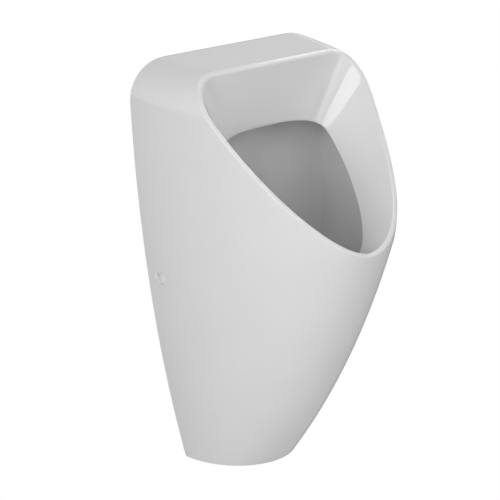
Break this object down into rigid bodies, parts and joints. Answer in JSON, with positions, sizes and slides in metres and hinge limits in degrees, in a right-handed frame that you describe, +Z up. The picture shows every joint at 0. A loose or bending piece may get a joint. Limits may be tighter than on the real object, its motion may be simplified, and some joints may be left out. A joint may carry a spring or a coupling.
{
  "type": "wall hung urinal",
  "caption": "White vitreous china wall hung urinal with a slanted open rim, deep bowl, hidden trap, rear inlet and wall hooks.",
  "frame": {"origin": "centre of the rectangle of the hook brackets' wall screw holes, in the plane of the wall", "axes": "+Y into the wall, -Y out into the room, +Z up, +X to the right seen from the room"},
  "size_m": [0.3014, 0.3375, 0.5845],
  "materials": {
    "glazed_china": "glossy white glaze",
    "cap_plastic": "gloss moulded white",
    "white_plastic": "satin moulded white",
    "black_rubber": "matt",
    "chrome": "polished",
    "brass": "machined",
    "bracket_steel": "zinc plated",
    "screw_steel": "bright zinc"
  },
  "bodies": {
    "urinal": {"china_body": "glazed_china", "hook_bracket_left": "bracket_steel", "hook_bracket_right": "bracket_steel", "hook_pads": "black_rubber", "side_bracket_left": "bracket_steel", "side_bracket_right": "bracket_steel", "side_bushes": "white_plastic", "side_screws": "screw_steel", "spreader": "chrome", "spreader_gasket": "black_rubber", "inlet_connector": "brass", "inlet_gasket": "black_rubber", "inlet_nut": "brass", "inlet_seal": "black_rubber", "outlet_fitting": "chrome", "outlet_gasket": "black_rubber", "tail_gasket": "black_rubber", "tail_nut": "white_plastic", "trap_nut": "white_plastic", "trap_seal": "black_rubber", "trap_body": "white_plastic", "waste_nut": "white_plastic", "waste_seal": "black_rubber", "waste_pipe": "white_plastic"},
    "cap_left": {"cover_cap_left": "cap_plastic"},
    "cap_right": {"cover_cap_right": "cap_plastic"},
    "trap_insert": {"immersion_tube": "white_plastic", "tube_seal": "black_rubber"},
    "strainer": {"strainer": "chrome"}
  },
  "joints": [
    {"name": "cap_left_pull", "type": "slide", "parent": "urinal", "child": "cap_left", "axis": [-1, 0, 0], "range_m": [0, 0.02]},
    {"name": "cap_right_pull", "type": "slide", "parent": "urinal", "child": "cap_right", "axis": [1, 0, 0], "range_m": [0, 0.02]},
    {"name": "insert_lift", "type": "slide", "parent": "urinal", "child": "trap_insert", "axis": [0, 0, 1], "range_m": [0, 0.15]},
    {"name": "strainer_lift", "type": "slide", "parent": "trap_insert", "child": "strainer", "axis": [0, 0, 1], "range_m": [0, 0.04]}
  ]
}
